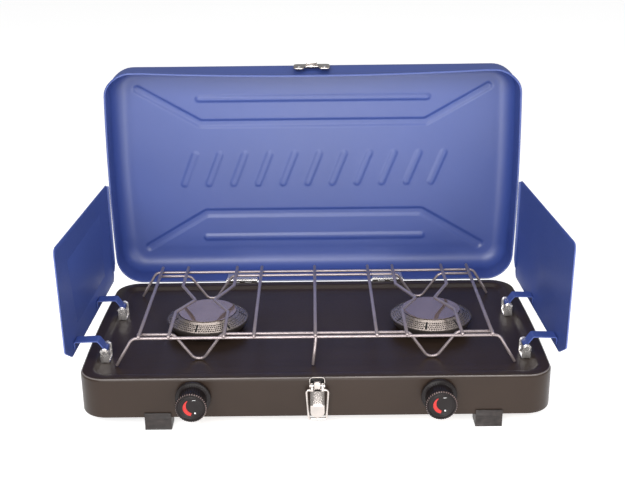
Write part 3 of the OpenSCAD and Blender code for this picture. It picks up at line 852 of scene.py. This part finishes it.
def knob_mesh():
    """Skirted knob, drawn about Z with its face up: a body that widens to a serrated rim, and a
    dished face inside a thin raised ring."""
    profile = [(3.1, 0), (19.0, 0), (19.5, 0.6), (19.5, 2.6), (18.9, 3.4), (16.9, 4.0), (15.6, 5.4),
               (15.3, 8), (15.9, 16), (16.8, 20.0), (17.3, 21.6), (17.3, 23.6), (16.8, 24.6),
               (16.0, 25.0), (15.0, 24.8), (14.4, 24.1), (13.8, 23.5), (12.6, 23.2), (12.0, 23.5),
               (11.4, 23.2), (6.0, 22.9), (0.01, 22.8), (0.01, 16.0), (3.1, 16.0)]

    def serrated(r, z, angle):
        rim = 1.0 if r > 16.5 and z > 15 else 0.35 if r > 15 and 4.5 < z < 18 else 0.0
        return r - rim * 0.7 * (0.5 - 0.5 * cos(angle * 40)), z

    return revolve(profile, KNOB_STEPS, serrated)


def build_knobs():
    for word in ("left", "right"):
        low, high = box_mm(word + "_knob")
        cx, cz, back = (low.x + high.x) / 2, (low.z + high.z) / 2, high.y

        def place(u, v, w):
            return cx + u, back - w, cz + v

        body = word + "_control"
        # Alternate teeth on the crest of the rim take the lighter look: painted highlight glints on the serrated
        # rim.
        highlighted_teeth = [i * KNOB_ROWS + j for i in range(KNOB_STEPS) for j in (11, 12) if i % 6 < 3]
        piece(word + "_knob_cap", *moved(knob_mesh(), lambda p: place(*p)), "knob_plastic", body,
              (word + "_knob",), 28, ("knob_edge", highlighted_teeth))
        crescent = rounded(arc(0.8, -0.4, 9.6, 118, 262, 16) + arc(3.6, 1.8, 9.0, 250, 138, 16), 0.3, 2)
        mark = plate(crescent, 22.7, 23.45, 0.12, place)
        piece(word + "_knob_crescent", *mark, "red_plastic", body, (word + "_knob_marker",))
        dot = [(4.2 + 0.95 * cos(2 * pi * k / 16), -6.6 + 0.95 * sin(2 * pi * k / 16)) for k in range(16)]
        bar = rounded([(1.8, 8.3), (5.2, 8.5), (5.2, 9.0), (1.8, 8.8)], 0.2, 3)
        marks = joined([plate(dot, 22.7, 23.5, 0.1, place), plate(bar, 22.7, 23.4, 0.1, place)])
        piece(word + "_knob_print", *marks, "white_print", body)


# ---------------------------------------------------------------- latch, strike, feet

def build_latch():
    x0 = LATCH_X
    wall = FRONT_Y
    pin_z = 54

    def front(outline, near, far, edge=0.3):
        """A plate facing the user; near and far are distances out from the wall."""
        return plate(outline, near, far, edge, lambda u, v, w: (x0 + u, wall - w, v))

    # The backing plate is drawn near-black: painted shade on a plate that sits in shadow between the frame and the
    # catch.
    back_plate = front(rounded([(-7.5, 43), (7.5, 43), (7.5, 61), (-7.5, 61)], 2.0, 4), 0.05, 1.2)
    piece("latch_backing_painted_shade", *back_plate, "port_dark", "base")
    catch = block((x0 - 3.7, wall - 7.4, 50.4), (x0 + 3.7, wall - 0.9, 59.0), 1.1)
    frame_path = [(x0 + u, wall - 1.7, v) for u, v in
                  rounded([(-7.9, 48), (7.9, 48), (7.9, 62.2), (-7.9, 62.2)], 3.2, 5)]
    edging = tube(frame_path + frame_path[:1], 0.8, 10)
    pin_end = [(0.01, -0.9), (1.9, -0.9), (2.3, -0.4), (2.3, 0.4), (0.01, 0.8)]
    ends = [moved(revolve(pin_end, 20),
                  lambda v, side=side: (x0 + side * (7.6 - v[2]), wall - 5 + v[0], pin_z + v[1]))
            for side in (-1, 1)]
    piece("latch_bracket", *joined([catch, edging] + ends), "nickel", "base", ("latch_base",))

    half_w, tip_z, tip_h = 7.65, 25, 7
    near, far = 7.2, 8.4
    tip = [(half_w * cos(radians(a)), tip_z + tip_h * sin(radians(a))) for a in range(360, 179, -12)]
    side_steps = [(half_w, z) for z in (48.5, 44, 40, 36, 34, 32.5, 31, 29, 27, 25)]
    blade = [(u, v) for u, v in side_steps] + tip + [(-u, v) for u, v in reversed(side_steps)]

    def curve(u, v, w):
        lift = 0.34 * min(48.5 - v, 15.5) - 0.16 * max(0.0, 31.5 - v)
        return x0 + u, wall - w - lift, v

    blade_rows = sorted({round(v, 4) for _, v in blade}, reverse=True)
    rings = []
    for v in blade_rows:
        narrowing = 1 if v >= tip_z else sqrt(max(0.0, 1 - ((tip_z - v) / tip_h) ** 2))
        reach = max(half_w * narrowing, 0.4)
        section = [(-reach, near), (reach, near), (reach, far), (-reach, far)]
        corners = rounded(section, min(0.3, reach / 3), 2)
        rings.append([curve(u, v, w) for u, w in corners])
    parts = [loft(rings)]
    for side in (-1, 1):
        ear = [(8.4, 46.2), (8.4, 48.5), (7.6, 52.5)] + arc(5.0, pin_z, 3.3, 0, 180, 10) + [(3.4, 47.2)]
        outline = [(-out, z) for out, z in ear]
        if signed_area(outline) < 0:
            outline.reverse()
        parts.append(plate(outline, side * 5.7 - 1.2, side * 5.7 + 1.2, 0.25,
                           lambda u, v, w: (x0 + w, wall + u, v)))
    piece("latch_blade", *joined(parts), "nickel", "lever", ("latch_lever",))

    half = [(4.8, 49), (12, 49), (9.6, 14)]
    corners = [(x0 - u, wall - 6, v) for u, v in half]
    corners += [(x0 + u, wall - 6, v) for u, v in reversed(half)]
    bail = tube(rounded(corners, 2.6, 6, closed=False), 1.25, 12)
    piece("latch_wire", *bail, "nickel", "bail", ("latch_bail",), 60)


def signed_area(outline):
    """Area inside an outline, negative when it runs clockwise."""
    return sum(a[0] * b[1] - b[0] * a[1] for a, b in zip(outline, outline[1:] + outline[:1])) / 2


def build_strike():
    """Riveted plate on the lid's front wall with a raised tongue for the wire to hook over."""
    x0 = -1.0
    wall = FRONT_Y
    corners = [(-22.7, 65), (-9.3, 65), (-9.3, 78), (9.3, 78), (9.3, 65), (22.7, 65), (22.7, 94),
               (-22.7, 94)]
    outline = rounded(corners, [3, 3, 2, 2, 3, 3, 5, 5], 5)
    flat = plate(outline, 0, 1.2, 0.3, lambda u, v, w: (x0 + u, wall - w, v))
    tongue = rounded([(-7, 1.0), (7, 1.0), (7, 5.5), (-7, 5.5)], [0.2, 0.2, 2, 2], 4)
    hook = plate(tongue, 80.5, 82.5, 0.4, lambda u, v, w: (x0 + u, wall - v, w))
    v, f = joined([flat, hook])
    piece("strike_plate", [open_lid(p) for p in v], f, "nickel", "lid", ("lid_strike",))


def build_feet():
    """Clip-on plastic feet with a stepped face and a lip that laps up the wall."""
    for node in ("front_left_foot", "front_right_foot", "rear_left_foot", "rear_right_foot"):
        low, high = box_mm(node)
        cx, half = (low.x + high.x) / 2, (high.x - low.x) / 2
        front = node.startswith("front")
        section = [(0.3, 0), (21.5, 0), (22, 0.6), (22, 13.4), (21.5, 13.9), (2.9, 13.9), (2.45, 14.4),
                   (2.45, 19.4), (2.0, 20), (0.9, 20), (0.3, 19.2), (0.2, 15.4), (0.0, 15.0),
                   (0.0, 12.8), (0.5, 12.2), (0.6, 9.0), (0.6, 4.0), (0.3, 1.6), (0.0, 1.2),
                   (0.0, 0.4)]
        rings = []
        for x, inset in ((-half, 0.5), (-half + 0.15, 0.2), (-half + 0.5, 0), (half - 0.5, 0),
                         (half - 0.15, 0.2), (half, 0.5)):
            ring = offset(section, inset * 0.5) if inset else section
            rings.append([(cx + x, (low.y + u) if front else (high.y - u), max(0.0, v)) for u, v in ring])
        v, f = loft(rings)
        piece(node + "_moulding", v, f, "foot_plastic", "base", (node,), 30)


# ---------------------------------------------------------------- CAD nodes that stay

def dress_cad_nodes():
    """Gives every CAD node the material of its slot."""
    slots = {s["node"]: s["material_slot"] for s in frame["record"]["subparts"]}
    for name, node in frame["nodes"].items():
        node.data.materials.clear()
        node.data.materials.append(LOOKS[slots[name]])


SLOTS = {m["slot"] for m in frame["record"]["materials"]}
LOOKS = make_materials()
aim_camera()
set_light()
lay_floor()
dress_cad_nodes()
build_base()
build_lid()
build_screens()
build_brackets()
build_grate()
build_burners()
build_knobs()
build_latch()
build_strike()
build_feet()
